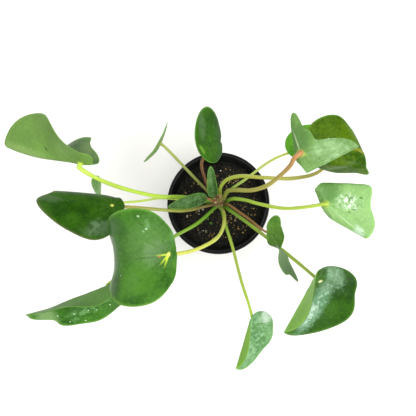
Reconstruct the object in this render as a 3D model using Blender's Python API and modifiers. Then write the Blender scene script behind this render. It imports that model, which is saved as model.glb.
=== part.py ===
"""Potted pilea: a round nursery pot, potting mix, a short main stem and sixteen stalked round leaves.

Metres, +Z up. The origin is the centre of the flat underside of the pot. Lengths in the tables
below are millimetres, which MM turns into metres.
"""

import bmesh
import bpy
import numpy as np
from math import cos, exp, pi, radians, sin
from mathutils import Vector

MM = 0.001
CLEARANCE = 0.3          # gap between neighbouring pieces

POT_HEIGHT = 90.0
POT_RIM_RADIUS = 52.5
POT_FOOT_RADIUS = 37.5
POT_WALL = 1.2
POT_FLOOR = 1.5
LIP_HEIGHT = 10.0        # folded-over skirt below the rim
LIP_WIDTH = 4.0
DRAIN_HOLES = 8
DRAIN_RADIUS = 3.5
DRAIN_CIRCLE = 28.0
POT_STEPS = 48

SOIL_CENTRE_HEIGHT = 80.0
SOIL_EDGE_HEIGHT = 75.0

STEM_XY = (2.0, 0.5)
STEM_FOOT = 66.0
STEM_RADIUS = 4.6
STEM_TAPER = [(80, 4.6), (94, 4.0), (100, 3.6), (104, 3.2), (106.5, 2.2), (107.6, 1.2)]  # (height, radius)
STEM_TOP = 108.0
STEM_STEPS = 24

LEAF_THICKNESS = 1.0
LEAF_RINGS = 6
LEAF_SPOKES = 28
STALK_SAMPLES = 3        # curve points between two route points
STALK_SIDES_LEVEL = 2
STALK_FOOT = 1.5         # straight run out of the main stem
STALK_END = 3.5          # straight run into the underside of the blade

COLOURS = {
    "pot": (0.012, 0.012, 0.013),
    "soil": (0.025, 0.018, 0.012),
    "stem": (0.20, 0.15, 0.05),
    "leaf": (0.09, 0.25, 0.045),
    "stalk_green": (0.36, 0.55, 0.07),
    "stalk_red": (0.36, 0.20, 0.09),
}
ROUGHNESS = {"pot": 0.45, "soil": 0.95, "stem": 0.6, "leaf": 0.35, "stalk_green": 0.4, "stalk_red": 0.45}

# Each blade: where its stalk joins it; compass heading, pitch and roll of the tip direction; length
# and width; the share of the length behind the joint; how much wider the base is than the tip; how
# far the left half leans ahead; its twist from base to tip, or its swing (an angle that builds up
# over a distance ahead of the joint); its curls; and the waves of its margin. A curl is (direction in
# the blade, distance from the joint at which it starts, angle, distance over which it turns); side
# curls come before the twist. A wave is (place round the margin, share of the radius, spread).
LEAVES = {
    "leaf_01": dict(at=(-109, 23, 190), aim=(168, 0, 112), size=(86, 61), base=0.20, egg=-0.25, lean=0.15,
                    swing=(68, 33), sides=[(-90, 0, 98, 8)], ends=[(180, 0, 36, 14), (0, 10, 10, 50)],
                    waves=[(-132, 0.4, 22), (176, -0.4, 16), (100, 0.09, 22)]),
    "leaf_02": dict(at=(-93, -8, 150), aim=(172, 3, 22), size=(82, 66), base=0.16, egg=0.3, twist=30,
                    sides=[(-92, 2.5, -80, 16)], ends=[(180, 0, -40, 12)],
                    waves=[(-18, -0.13, 22), (-125, -0.65, 45), (130, 0.11, 25)]),
    "leaf_03": dict(at=(-36, -51, 190), aim=(184, 6, 0), size=(75, 78), base=0.09, egg=0.15,
                    sides=[(90, 3, 18, 12), (-90, 3, 18, 12)], ends=[(180, 0, -45, 9), (0, 14, -85, 50)]),
    "leaf_04": dict(at=(-97, -82, 145), aim=(205, 0, -47), size=(97, 62), base=0.25, egg=0.25, swing=(24, 26),
                    sides=[(90, 0, -8, 35), (-90, 0, 78, 12)], ends=[(5, 44, -14, 12)],
                    waves=[(26, -0.2, 12), (5, 0.06, 10), (-20, 0.12, 12), (62, -0.15, 32)]),
    "leaf_05": dict(at=(-52, 50, 142), aim=(240, 0, 79), size=(44, 42), base=0.48,
                    ends=[(0, 0, 20, 24), (180, 0, 20, 20)]),
    "leaf_06": dict(at=(-116, -5, 100), aim=(107, 0, -84), size=(46, 24), base=0.28, egg=-0.5, twist=60),
    "leaf_07": dict(at=(-5, 47, 125), aim=(95, 5, 44), size=(54, 35), base=0.23, egg=0.12,
                    sides=[(90, 4, -25, 16), (-90, 4, -25, 16)], waves=[(-98, -0.16, 7)]),
    "leaf_08": dict(at=(107, 39, 152), aim=(-62, 0, 0), size=(64, 54), base=0.52, egg=0.1,
                    sides=[(90, 9, -65, 18)], ends=[(-35, 8, -75, 6)], waves=[(22, 0.35, 9)]),
    "leaf_09": dict(at=(79, 46, 130), aim=(60, 0, -20), size=(36, 36), base=0.30),
    "leaf_10": dict(at=(69, 29, 190), aim=(10, 0, 178), size=(52, 44), base=0.13, egg=0.3,
                    sides=[(-178, 0, 100, 6), (73, 12, 120, 8)],
                    waves=[(-68, -0.5, 40), (-138, 0.9, 12), (150, -0.35, 25), (12, 0.05, 10)]),
    "leaf_11": dict(at=(96, -8, 152), aim=(-31, 0, 178), size=(62, 66), base=0.25,
                    sides=[(90, 4, 110, 8), (-119, 15, 100, 8), (131, -1, 105, 8)],
                    waves=[(-40, -0.12, 22), (-75, 0.1, 14)]),
    "leaf_12": dict(at=(46, -31, 152), aim=(-60, 0, -30), size=(64, 27), base=0.12, lean=-0.6,
                    swing=(160, 15), sides=[(-90, 4.5, -40, 10)],
                    waves=[(134, 0.65, 14), (98, -0.25, 16), (180, -0.5, 25), (-140, -0.6, 35),
                           (-75, -0.4, 40), (-30, -0.28, 25), (30, -0.15, 24), (60, 0.12, 20)]),
    "leaf_13": dict(at=(91, -75, 145), aim=(-124, 0, 0), size=(70, 76), base=0.22, egg=0.3, twist=-45,
                    sides=[(-90, 0, 82, 10)], waves=[(167, 0.55, 17), (-160, -0.47, 26), (130, -0.05, 20)]),
    "leaf_14": dict(at=(34, -117, 122), aim=(-110, 0, 0), size=(55, 42), base=0.22, egg=0.15, twist=-40,
                    sides=[(-90, 0, 95, 8)], waves=[(165, 0.38, 22), (-150, -0.48, 26), (75, -0.18, 35)]),
    "young_leaf_1": dict(at=(-4, 5, 113), aim=(93, 45, 0), size=(36, 14), base=0.05, egg=0.45,
                         sides=[(90, 0, 65, 4), (-90, 0, 65, 4)]),
    "young_leaf_2": dict(at=(-12, 3, 112), aim=(197, 18, -20), size=(40, 13), base=0.06, egg=0.35,
                         sides=[(90, 0, 20, 8), (-90, 0, 30, 8)]),
}

# Each stalk: its leaf; the direction and height at which it leaves the main stem; its radius at the
# stem and at the leaf; its colour; and the points that it passes on its way.
STALKS = {
    "stalk_01": ("leaf_01", 170, 98, 2.1, 1.8, "stalk_green",
                 [(-35, 4, 107), (-54, 3, 121), (-78, 6, 147), (-93, 10, 168), (-102, 14, 181)]),
    "stalk_02": ("leaf_02", 201, 92, 1.8, 1.5, "stalk_red",
                 [(-30, -9, 105), (-46, -10, 118), (-70, -9, 134), (-86, -8.5, 142)]),
    "stalk_03": ("leaf_03", 268, 99, 1.8, 1.5, "stalk_green",
                 [(6, -11, 112), (7, -22, 128), (4, -33, 145), (-2, -40, 160), (-15, -47, 173),
                  (-26, -50, 180)]),
    "stalk_04": ("leaf_04", 228, 88, 1.8, 1.5, "stalk_green",
                 [(-20, -22, 105), (-41, -35, 115), (-70, -57, 128), (-88, -71, 137)]),
    "stalk_05": ("leaf_05", 150, 94, 1.6, 1.3, "stalk_green",
                 [(-19, 19, 110), (-30, 30, 122), (-42, 42, 134)]),
    "stalk_06": ("leaf_06", 182, 86, 1.4, 1.2, "stalk_green",
                 [(-30, 2, 95), (-57, 4, 99), (-76, 1, 101), (-98, -1, 101)]),
    "stalk_07": ("leaf_07", 122, 87, 1.7, 1.5, "stalk_red",
                 [(-9, 14, 100), (-13, 24, 108), (-15, 36, 115)]),
    "stalk_08": ("leaf_08", 84, 95, 1.9, 1.7, "stalk_red",
                 [(3, 13, 106), (8, 19, 113), (20, 22, 121), (44, 19, 131), (71, 18, 132), (93, 23, 133),
                  (103, 33, 142)]),
    "stalk_09": ("leaf_09", 52, 86, 1.4, 1.2, "stalk_green",
                 [(14, 13, 98), (27, 21, 105), (51, 37, 117), (66, 43, 122)]),
    "stalk_10": ("leaf_10", 36, 100, 2.1, 1.8, "stalk_red",
                 [(10, 9, 111), (18, 9, 120), (32, 7, 133), (45, 9, 148), (55, 15, 165), (62, 21, 182),
                  (64, 25, 193)]),
    "stalk_11": ("leaf_11", 358, 93, 1.8, 1.5, "stalk_green",
                 [(15, 2, 107), (27, 0, 114), (38, -4, 121), (61, -10, 135), (79, -10, 147)]),
    "stalk_12": ("leaf_12", 334, 98, 1.5, 1.0, "stalk_red",
                 [(11, -4, 109), (20, -11, 117), (31, -20, 128), (39, -28, 142)]),
    "stalk_13": ("leaf_13", 318, 91, 1.8, 1.5, "stalk_green",
                 [(10, -7, 99), (19, -14, 106), (38, -29, 116), (63, -50, 128), (79, -64, 136)]),
    "stalk_14": ("leaf_14", 280, 86, 1.6, 1.3, "stalk_green",
                 [(8, -24, 102), (14, -43, 108), (23, -78, 115), (30, -100, 119)]),
    "stalk_15": ("young_leaf_1", 118, 103, 1.1, 1.0, "stalk_red", []),
    "stalk_16": ("young_leaf_2", 190, 103, 1.1, 1.0, "stalk_red", []),
}


def clear_scene():
    for item in list(bpy.data.objects):
        bpy.data.objects.remove(item)


def collection(name):
    made = bpy.data.collections.new(name)
    bpy.context.scene.collection.children.link(made)
    return made


def material(name, key):
    made = bpy.data.materials.new(name)
    made.use_nodes = True
    shader = made.node_tree.nodes["Principled BSDF"]
    shader.inputs["Base Color"].default_value = (*COLOURS[key], 1.0)
    shader.inputs["Roughness"].default_value = ROUGHNESS[key]
    shader.inputs["Metallic"].default_value = 0.0
    return made


def add_object(name, data, group, key):
    made = bpy.data.objects.new(name, data)
    data.materials.append(material(name + "_finish", key))
    group.objects.link(made)
    return made


def turned(name, profile, steps, group, key):
    """A turned solid: the (radius, height) profile runs out from the axis, down the outside and back."""
    mesh = bpy.data.meshes.new(name)
    points = [(r * MM, 0.0, z * MM) for r, z in profile]
    mesh.from_pydata(points, [(i, i + 1) for i in range(len(points) - 1)], [])
    made = add_object(name, mesh, group, key)
    screw = made.modifiers.new("turn", "SCREW")
    screw.steps = screw.render_steps = steps
    screw.use_merge_vertices = True
    screw.merge_threshold = 0.00005
    screw.use_smooth_shade = True
    return made


def cut(target, cutter):
    boolean = target.modifiers.new("cut_" + cutter.name, "BOOLEAN")
    boolean.operation = "DIFFERENCE"
    boolean.solver = "EXACT"
    boolean.object = cutter
    cutter.hide_render = True
    cutter.display_type = "WIRE"


def cylinder(name, x, y, low, high, radius, segments, group):
    mesh = bpy.data.meshes.new(name)
    shape = bmesh.new()
    bmesh.ops.create_cone(shape, cap_ends=True, segments=segments, radius1=radius * MM,
                          radius2=radius * MM, depth=(high - low) * MM)
    shape.to_mesh(mesh)
    shape.free()
    made = bpy.data.objects.new(name, mesh)
    made.location = (x * MM, y * MM, (low + high) / 2 * MM)
    group.objects.link(made)
    return made


def wall_radius(height):
    """Outer radius of the pot's tapered wall."""
    top = POT_RIM_RADIUS - LIP_WIDTH + POT_WALL
    return POT_FOOT_RADIUS + (top - POT_FOOT_RADIUS) * height / POT_HEIGHT


def make_pot(parts, cutters):
    inside = POT_FLOOR + 1.0
    skirt_foot = POT_HEIGHT - LIP_HEIGHT
    rim, wall = POT_RIM_RADIUS, POT_WALL
    ridge = rim - LIP_WIDTH
    profile = [
        (0, POT_FLOOR), (POT_FOOT_RADIUS - 2.4, POT_FLOOR), (wall_radius(inside) - wall, inside),
        (wall_radius(POT_HEIGHT - 3) - wall, POT_HEIGHT - 3),
        (ridge + 0.1, POT_HEIGHT - 0.6), (ridge + 0.6, POT_HEIGHT), (ridge + 1.2, POT_HEIGHT - 0.4),
        (ridge + 1.7, POT_HEIGHT - 1.6), (ridge + 2.3, POT_HEIGHT - 1.8), (rim - 1.1, POT_HEIGHT - 0.9),
        (rim - 0.4, POT_HEIGHT - 1.2), (rim, POT_HEIGHT - 2.2),
        (rim - 0.4, skirt_foot), (rim - 0.4 - wall, skirt_foot),
        (rim - 0.1 - wall, POT_HEIGHT - 3.4), (wall_radius(POT_HEIGHT - 4), POT_HEIGHT - 4),
        (wall_radius(2.0), 2.0), (wall_radius(0) - 1.4, 0), (0, 0),
    ]
    pot = turned("pot", profile, POT_STEPS, parts, "pot")
    for i in range(DRAIN_HOLES):
        angle = 2 * pi * i / DRAIN_HOLES
        hole = cylinder(f"drain_cutter_{i + 1}", DRAIN_CIRCLE * cos(angle), DRAIN_CIRCLE * sin(angle),
                        -2.0, POT_FLOOR + 2.0, DRAIN_RADIUS, 16, cutters)
        cut(pot, hole)


def make_soil(parts, cutters):
    def edge(height):
        return wall_radius(height) - POT_WALL - CLEARANCE

    foot = POT_FLOOR + CLEARANCE
    profile = [
        (0, SOIL_CENTRE_HEIGHT), (18, SOIL_CENTRE_HEIGHT - 0.6), (34, SOIL_CENTRE_HEIGHT - 2.0),
        (edge(SOIL_EDGE_HEIGHT) - 3, SOIL_EDGE_HEIGHT + 0.8), (edge(SOIL_EDGE_HEIGHT), SOIL_EDGE_HEIGHT),
        (edge(foot + 2), foot + 2), (edge(foot) - 2.4, foot), (0, foot),
    ]
    soil = turned("soil", profile, POT_STEPS, parts, "soil")
    socket = cylinder("stem_socket_cutter", *STEM_XY, STEM_FOOT - CLEARANCE, SOIL_CENTRE_HEIGHT + 5,
                      STEM_RADIUS + CLEARANCE, STEM_STEPS, cutters)
    cut(soil, socket)


def make_stem(parts):
    """The main stem tapers a little to its growing point."""
    taper = [(radius, height) for height, radius in reversed(STEM_TAPER)]
    profile = [(0, STEM_TOP), *taper, (STEM_RADIUS, STEM_FOOT), (0, STEM_FOOT)]
    stem = turned("main_stem", profile, STEM_STEPS, parts, "stem")
    stem.location = (STEM_XY[0] * MM, STEM_XY[1] * MM, 0)


def stem_radius(height):
    """Radius of the main stem at a height where a stalk leaves it."""
    heights, radii = zip(*STEM_TAPER)
    return float(np.interp(height, heights, radii))


def blade_axes(leaf):
    """Tip direction, left direction and upper normal of a blade at its joint."""
    heading, pitch, roll = (radians(a) for a in leaf["aim"])
    tip = np.array([cos(heading) * cos(pitch), sin(heading) * cos(pitch), sin(pitch)])
    level = np.array([-sin(heading), cos(heading), 0.0])
    upright = np.cross(tip, level)
    left = level * cos(roll) + upright * sin(roll)
    return tip, left, np.cross(tip, left)


def curled(points, direction, start, angle, over):
    """Rolls the part of the blade beyond a line up (positive) or down about that line."""
    across = np.array([cos(radians(direction)), sin(radians(direction)), 0.0])
    beyond = np.maximum(points @ across - start, 0.0)
    bend = radians(angle) / over
    turning = np.minimum(beyond, over)
    turned_by = bend * turning
    height = points[:, 2].copy()
    reach = np.sin(turned_by) / bend + np.cos(turned_by) * (beyond - turning)
    rise = (1 - np.cos(turned_by)) / bend + np.sin(turned_by) * (beyond - turning)
    moved = points + np.outer(reach - beyond - np.sin(turned_by) * height, across)
    moved[:, 2] = rise + np.cos(turned_by) * height
    return np.where((beyond > 0)[:, None], moved, points)


def twisted(points, angle, length, swing, over):
    """Turns the blade about its midrib: evenly along its length, and by a swing that builds up ahead."""
    ahead = np.maximum(points[:, 0], 0.0)
    turn = radians(angle) * points[:, 0] / length + radians(swing) * (1 - np.exp(-(ahead / over) ** 2))
    y, z = points[:, 1], points[:, 2]
    across = y * np.cos(turn) - z * np.sin(turn)
    return np.stack([points[:, 0], across, y * np.sin(turn) + z * np.cos(turn)], 1)


def blade_points(leaf, flat):
    """Places flat (along, across) blade points, in millimetres, as the grown and curled blade."""
    points = np.column_stack([flat, np.zeros(len(flat))])
    for curl in leaf.get("sides", []):
        points = curled(points, *curl)
    points = twisted(points, leaf.get("twist", 0), leaf["size"][0], *leaf.get("swing", (0, 1)))
    for curl in leaf.get("ends", []):
        points = curled(points, *curl)
    return np.array(leaf["at"]) + points @ np.array(blade_axes(leaf))


def blade_rim(leaf, angle):
    """The blade's outline: an ellipse about an offset joint, wider at one end, its left half leaning ahead.

    Each wave is a bulge (or, below nought, a notch) of the margin: where it is, its share and its spread.
    """
    length, width = leaf["size"]
    across = width / 2 * sin(angle) * (1 - leaf.get("egg", 0.12) * cos(angle))
    along = length / 2 * (1 + cos(angle)) - leaf["base"] * length + leaf.get("lean", 0) * across
    reach = 1.0
    for place, share, spread in leaf.get("waves", []):
        away = (angle - radians(place) + pi) % (2 * pi) - pi
        reach += share * exp(-(away / radians(spread)) ** 2)
    return along * reach, across * reach


def make_blade(name, leaf, parts):
    """A flat disc of rings and spokes, shaped as the blade and given its thickness."""
    shape = bmesh.new()
    centre = shape.verts.new((0, 0, 0))
    rings = []
    for ring in range(1, LEAF_RINGS + 1):
        share = ring / LEAF_RINGS
        rim = [blade_rim(leaf, 2 * pi * i / LEAF_SPOKES) for i in range(LEAF_SPOKES)]
        rings.append([shape.verts.new((x * share, y * share, 0)) for x, y in rim])
    for i in range(LEAF_SPOKES):
        j = (i + 1) % LEAF_SPOKES
        shape.faces.new((centre, rings[0][i], rings[0][j]))
        for inner, outer in zip(rings, rings[1:]):
            shape.faces.new((inner[i], outer[i], outer[j], inner[j]))
    flat = np.array([vert.co[:2] for vert in shape.verts])
    for vert, place in zip(shape.verts, blade_points(leaf, flat)):
        vert.co = Vector(place) * MM
    mesh = bpy.data.meshes.new(name)
    shape.to_mesh(mesh)
    shape.free()
    mesh.shade_smooth()
    blade = add_object(name, mesh, parts, "leaf")
    solid = blade.modifiers.new("thickness", "SOLIDIFY")
    solid.thickness = LEAF_THICKNESS * MM
    solid.offset = 0.0
    return blade


def smooth_route(points):
    """Points along a smooth curve through the route's own points, spaced by the root of their distance."""
    knots = np.array(points, float)
    knots = np.vstack([2 * knots[0] - knots[1], knots, 2 * knots[-1] - knots[-2]])
    steps = np.sqrt(np.linalg.norm(np.diff(knots, axis=0), axis=1))
    route = []
    for i in range(1, len(knots) - 2):
        before, inside, after = steps[i - 1:i + 2]
        start, end = knots[i], knots[i + 1]
        leave = (start - knots[i - 1]) / before + (end - start) / inside
        leave = (leave - (end - knots[i - 1]) / (before + inside)) * inside
        reach = (end - start) / inside + (knots[i + 2] - end) / after
        reach = (reach - (knots[i + 2] - start) / (inside + after)) * inside
        for t in np.arange(STALK_SAMPLES) / STALK_SAMPLES:
            route.append(start + leave * t + (3 * (end - start) - 2 * leave - reach) * t ** 2
                         + (2 * (start - end) + leave + reach) * t ** 3)
    return route + [knots[-2]]


def stalk_route(leaf, direction, height, middle):
    """From the side of the main stem to just under the blade, square to both."""
    out = np.array([cos(radians(direction)), sin(radians(direction)), 0.0])
    foot = np.array([*STEM_XY, height]) + out * (stem_radius(height) + CLEARANCE)
    normal = blade_axes(leaf)[2]
    end = np.array(leaf["at"]) - normal * (LEAF_THICKNESS / 2 + CLEARANCE)
    return [foot, *smooth_route([foot + out * STALK_FOOT, *middle, end - normal * STALK_END]), end]


def make_stalk(name, spec, parts):
    leaf_name, direction, height, thick, thin, key, middle = spec
    route = stalk_route(LEAVES[leaf_name], direction, height, middle)
    curve = bpy.data.curves.new(name, "CURVE")
    curve.dimensions = "3D"
    curve.bevel_depth = MM
    curve.bevel_resolution = STALK_SIDES_LEVEL
    curve.use_fill_caps = True
    line = curve.splines.new("POLY")
    line.points.add(len(route) - 1)
    for i, (point, place) in enumerate(zip(line.points, route)):
        point.co = (*(Vector(place) * MM), 1.0)
        point.radius = thick + (thin - thick) * i / (len(route) - 1)
    return add_object(name, curve, parts, key)


def main():
    clear_scene()
    parts = collection("potted_pilea")
    cutters = collection("cutters")
    make_pot(parts, cutters)
    make_soil(parts, cutters)
    make_stem(parts)
    for name, leaf in LEAVES.items():
        make_blade(name, leaf, parts)
    for name, spec in STALKS.items():
        make_stalk(name, spec, parts)


main()
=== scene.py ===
from math import cos, pi, radians, sin

import bmesh
import bpy
import numpy as np
from mathutils import Matrix, Vector, noise


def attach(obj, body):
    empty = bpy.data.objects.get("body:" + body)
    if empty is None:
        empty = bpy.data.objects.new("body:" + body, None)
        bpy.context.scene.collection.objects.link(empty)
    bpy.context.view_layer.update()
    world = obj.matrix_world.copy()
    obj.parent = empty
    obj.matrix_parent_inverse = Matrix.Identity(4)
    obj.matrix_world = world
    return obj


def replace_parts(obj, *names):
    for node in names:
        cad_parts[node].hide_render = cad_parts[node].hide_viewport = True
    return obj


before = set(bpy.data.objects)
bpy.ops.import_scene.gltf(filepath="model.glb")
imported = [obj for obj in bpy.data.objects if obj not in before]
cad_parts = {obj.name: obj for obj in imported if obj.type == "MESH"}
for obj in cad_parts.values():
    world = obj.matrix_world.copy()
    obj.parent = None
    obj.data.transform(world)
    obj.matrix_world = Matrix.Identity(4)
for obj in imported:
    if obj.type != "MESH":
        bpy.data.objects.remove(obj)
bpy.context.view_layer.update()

MM = 0.001
rng = np.random.default_rng(11)

# ---- the plant's shape, in millimetres
POT_HEIGHT, POT_RIM_RADIUS, POT_FOOT_RADIUS = 90.0, 52.5, 37.5
POT_WALL, POT_FLOOR, LIP_HEIGHT, LIP_WIDTH = 1.2, 1.5, 10.0, 4.0
DRAIN_HOLES, DRAIN_RADIUS, DRAIN_CIRCLE = 8, 3.5, 28.0
SOIL_EDGE_HEIGHT = 75.0
STEM_XY = (2.0, 0.5)
STEM_TAPER = [(80, 4.6), (94, 4.0), (100, 3.6), (104, 3.2), (106.5, 2.2), (107.6, 1.2)]
STEM_TOP = 108.0
STALK_FOOT, STALK_END = 1.5, 3.5
LEAF_THICKNESS, CLEARANCE = 1.0, 0.3

# Each blade: its joint; its heading, pitch and roll in degrees; its flat length and width; the share of the
# length behind the joint; how egg-shaped it is and how far it leans to a side. Its side curls come before its
# twist (degrees over its length) and the swing of its tip (degrees, distance), its end curls after. A curl is
# (direction, start, degrees, distance over which it turns), a wave of the margin (direction, share, spread).
LEAVES = {
    "leaf_01": dict(
        at=(-109, 23, 190), aim=(168, 0, 112), size=(86, 61), base=0.2, egg=-0.25, lean=0.15, swing=(68, 33),
        sides=[(-90, 0, 98, 8)], ends=[(180, 0, 36, 14), (0, 10, 10, 50)],
        waves=[(-132, 0.4, 22), (176, -0.4, 16), (100, 0.09, 22)]),
    "leaf_02": dict(
        at=(-93, -8, 150), aim=(172, 3, 22), size=(82, 66), base=0.16, egg=0.3, twist=30,
        sides=[(-92, 2.5, -80, 16)], ends=[(180, 0, -40, 12)],
        waves=[(-18, -0.13, 22), (-125, -0.65, 45), (130, 0.11, 25)]),
    "leaf_03": dict(
        at=(-36, -51, 190), aim=(184, 6, 0), size=(75, 78), base=0.09, egg=0.15,
        sides=[(90, 3, 18, 12), (-90, 3, 18, 12)], ends=[(180, 0, -45, 9), (0, 14, -85, 50)]),
    "leaf_04": dict(at=(-97, -82, 145), aim=(205, 0, -47), size=(97, 62), base=0.25, egg=0.25, swing=(24, 26),
        sides=[(90, 0, -8, 35), (-90, 0, 78, 12)], ends=[(5, 44, -14, 12)],
        waves=[(22, -0.15, 16), (0, 0.08, 12), (-20, 0.1, 12), (62, -0.15, 32)]),
    "leaf_05": dict(
        at=(-52, 50, 142), aim=(240, 0, 79), size=(44, 42), base=0.48,
        ends=[(0, 0, 20, 24), (180, 0, 20, 20)]),
    "leaf_06": dict(at=(-116, -5, 100), aim=(107, 0, -84), size=(46, 24), base=0.28, egg=-0.5, twist=60),
    "leaf_07": dict(
        at=(-5, 47, 125), aim=(95, 5, 44), size=(54, 35), base=0.23, egg=0.12,
        sides=[(90, 4, -25, 16), (-90, 4, -25, 16)], waves=[(-98, -0.16, 7)]),
    "leaf_08": dict(
        at=(107, 39, 152), aim=(-62, 0, 0), size=(64, 54), base=0.52, egg=0.1, sides=[(90, 9, -65, 18)],
        ends=[(-35, 8, -75, 6)], waves=[(22, 0.35, 9)]),
    "leaf_09": dict(at=(79, 46, 130), aim=(60, 0, -20), size=(36, 36), base=0.3),
    "leaf_10": dict(
        at=(69, 29, 190), aim=(10, 0, 178), size=(52, 44), base=0.13, egg=0.3,
        sides=[(-178, 0, 100, 6), (73, 12, 120, 8)],
        waves=[(-68, -0.5, 40), (-138, 0.9, 12), (150, -0.35, 25), (12, 0.05, 10)]),
    "leaf_11": dict(
        at=(96, -8, 152), aim=(-31, 0, 178), size=(62, 66), base=0.25,
        sides=[(90, 4, 110, 8), (-119, 15, 100, 8), (131, -1, 105, 8)],
        waves=[(-40, -0.12, 22), (-75, 0.1, 14)]),
    "leaf_12": dict(
        at=(46, -31, 152), aim=(-60, 0, -30), size=(64, 27), base=0.12, lean=-0.6, swing=(160, 15),
        sides=[(-90, 4.5, -40, 10)],
        waves=[(134, 0.65, 14), (98, -0.25, 16), (180, -0.5, 25), (-140, -0.6, 35), (-75, -0.4, 40),
               (-30, -0.28, 25), (30, -0.15, 24), (60, 0.12, 20)]),
    "leaf_13": dict(
        at=(91, -75, 145), aim=(-124, 0, 0), size=(70, 76), base=0.22, egg=0.3, twist=-45,
        sides=[(-90, 0, 82, 10)], waves=[(167, 0.55, 17), (-160, -0.47, 26), (130, -0.05, 20)]),
    "leaf_14": dict(
        at=(34, -117, 122), aim=(-110, 0, 0), size=(55, 42), base=0.22, egg=0.15, twist=-40,
        sides=[(-90, 0, 95, 8)], waves=[(165, 0.38, 22), (-150, -0.48, 26), (75, -0.18, 35)]),
    "young_leaf_1": dict(
        at=(-4, 5, 113), aim=(93, 45, 0), size=(36, 14), base=0.05, egg=0.45,
        sides=[(90, 0, 65, 4), (-90, 0, 65, 4)]),
    "young_leaf_2": dict(
        at=(-12, 3, 112), aim=(197, 18, -20), size=(40, 13), base=0.06, egg=0.35,
        sides=[(90, 0, 20, 8), (-90, 0, 30, 8)]),
}

# Each leaf's stalk: its direction and height at the stem, its radius there and at the blade, its route.
STALKS = {
    "leaf_01": (
        170, 98, 2.1, 1.8,
        [(-35, 4, 107), (-54, 3, 121), (-78, 6, 147), (-93, 10, 168), (-102, 14, 181)]),
    "leaf_02": (201, 92, 1.8, 1.5, [(-30, -9, 105), (-46, -10, 118), (-70, -9, 134), (-86, -8.5, 142)]),
    "leaf_03": (
        268, 99, 1.8, 1.5,
        [(6, -11, 112), (7, -22, 128), (4, -33, 145), (-2, -40, 160), (-15, -47, 173), (-26, -50, 180)]),
    "leaf_04": (228, 88, 1.8, 1.5, [(-20, -22, 105), (-41, -35, 115), (-70, -57, 128), (-88, -71, 137)]),
    "leaf_05": (150, 94, 1.6, 1.3, [(-19, 19, 110), (-30, 30, 122), (-42, 42, 134)]),
    "leaf_06": (182, 86, 1.4, 1.2, [(-30, 2, 95), (-57, 4, 99), (-76, 1, 101), (-98, -1, 101)]),
    "leaf_07": (122, 87, 1.7, 1.5, [(-9, 14, 100), (-13, 24, 108), (-15, 36, 115)]),
    "leaf_08": (
        84, 95, 1.9, 1.7,
        [(3, 13, 106), (8, 19, 113), (20, 22, 121), (44, 19, 131), (71, 18, 132), (93, 23, 133),
         (103, 33, 142)]),
    "leaf_09": (52, 86, 1.4, 1.2, [(14, 13, 98), (27, 21, 105), (51, 37, 117), (66, 43, 122)]),
    "leaf_10": (
        36, 100, 2.1, 1.8,
        [(10, 9, 111), (18, 9, 120), (32, 7, 133), (45, 9, 148), (55, 15, 165), (62, 21, 182),
         (64, 25, 193)]),
    "leaf_11": (
        358, 93, 1.8, 1.5,
        [(15, 2, 107), (27, 0, 114), (38, -4, 121), (61, -10, 135), (79, -10, 147)]),
    "leaf_12": (334, 98, 1.5, 1.0, [(11, -4, 109), (20, -11, 117), (31, -20, 128), (39, -28, 142)]),
    "leaf_13": (
        318, 91, 1.8, 1.5,
        [(10, -7, 99), (19, -14, 106), (38, -29, 116), (63, -50, 128), (79, -64, 136)]),
    "leaf_14": (280, 86, 1.6, 1.3, [(8, -24, 102), (14, -43, 108), (23, -78, 115), (30, -100, 119)]),
    "young_leaf_1": (118, 103, 1.1, 1.0, []),
    "young_leaf_2": (190, 103, 1.1, 1.0, []),
}


# ---- helpers
def link(name, data):
    data.name = name
    made = bpy.data.objects.new(name, data)
    bpy.context.scene.collection.objects.link(made)
    return made


def piece(name, mesh, slot, *materials):
    """A piece of the plant: it rides on the root body, and its slot is not used."""
    made = link(name, mesh)
    for material in materials:
        mesh.materials.append(material)
    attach(made, "root")
    return made


def mesh_from(points, faces, smooth=True):
    """A mesh from points in millimetres."""
    mesh = bpy.data.meshes.new("mesh")
    mesh.from_pydata(np.array(points) * MM, [], faces)
    mesh.polygons.foreach_set("use_smooth", [smooth] * len(mesh.polygons))
    mesh.update()
    return mesh


def store(mesh, name, values):
    """An attribute with a number or a vector for each point."""
    values = np.asarray(values, np.float32)
    kind, field = ("FLOAT", "value") if values.ndim == 1 else ("FLOAT_VECTOR", "vector")
    mesh.attributes.new(name, kind, "POINT").data.foreach_set(field, values.ravel())


def fan(middle, ring, steps):
    """Triangles between a point and a ring of points, given as the number of its first point."""
    return [(middle, ring + i, ring + (i + 1) % steps) for i in range(steps)]


def band(one, two, steps):
    """Four-sided faces between two rings of points."""
    return [(one + i, two + i, two + (i + 1) % steps, one + (i + 1) % steps) for i in range(steps)]


def bands(first, rings, steps):
    """All the faces between rings of points that follow one another."""
    faces = []
    for ring in range(first, first + (rings - 1) * steps, steps):
        faces += band(ring, ring + steps, steps)
    return faces


def flipped(faces):
    return [face[:1] + face[:0:-1] for face in faces]


def shifted(faces, by):
    return [tuple(i + by for i in face) for face in faces]


def circle(radius, height, steps):
    return [(radius * cos(a), radius * sin(a), height) for a in 2 * pi * np.arange(steps) / steps]


def turned(top, rings, bottom):
    """A closed skin from a top point over rings of points about the pot's axis to a bottom point."""
    steps, last = len(rings[0]), 1 + len(rings) * len(rings[0])
    faces = fan(0, 1, steps) + bands(1, len(rings), steps) + flipped(fan(last, last - steps, steps))
    return mesh_from([top, *(point for ring in rings for point in ring), bottom], faces)


def compass(degrees):
    """The level direction at an angle from +X."""
    return np.array([cos(radians(degrees)), sin(radians(degrees)), 0.0])


def distances(route):
    """How far along the route each of its points is."""
    return np.concatenate([[0], np.cumsum(np.linalg.norm(np.diff(route, axis=0), axis=1))])


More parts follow.
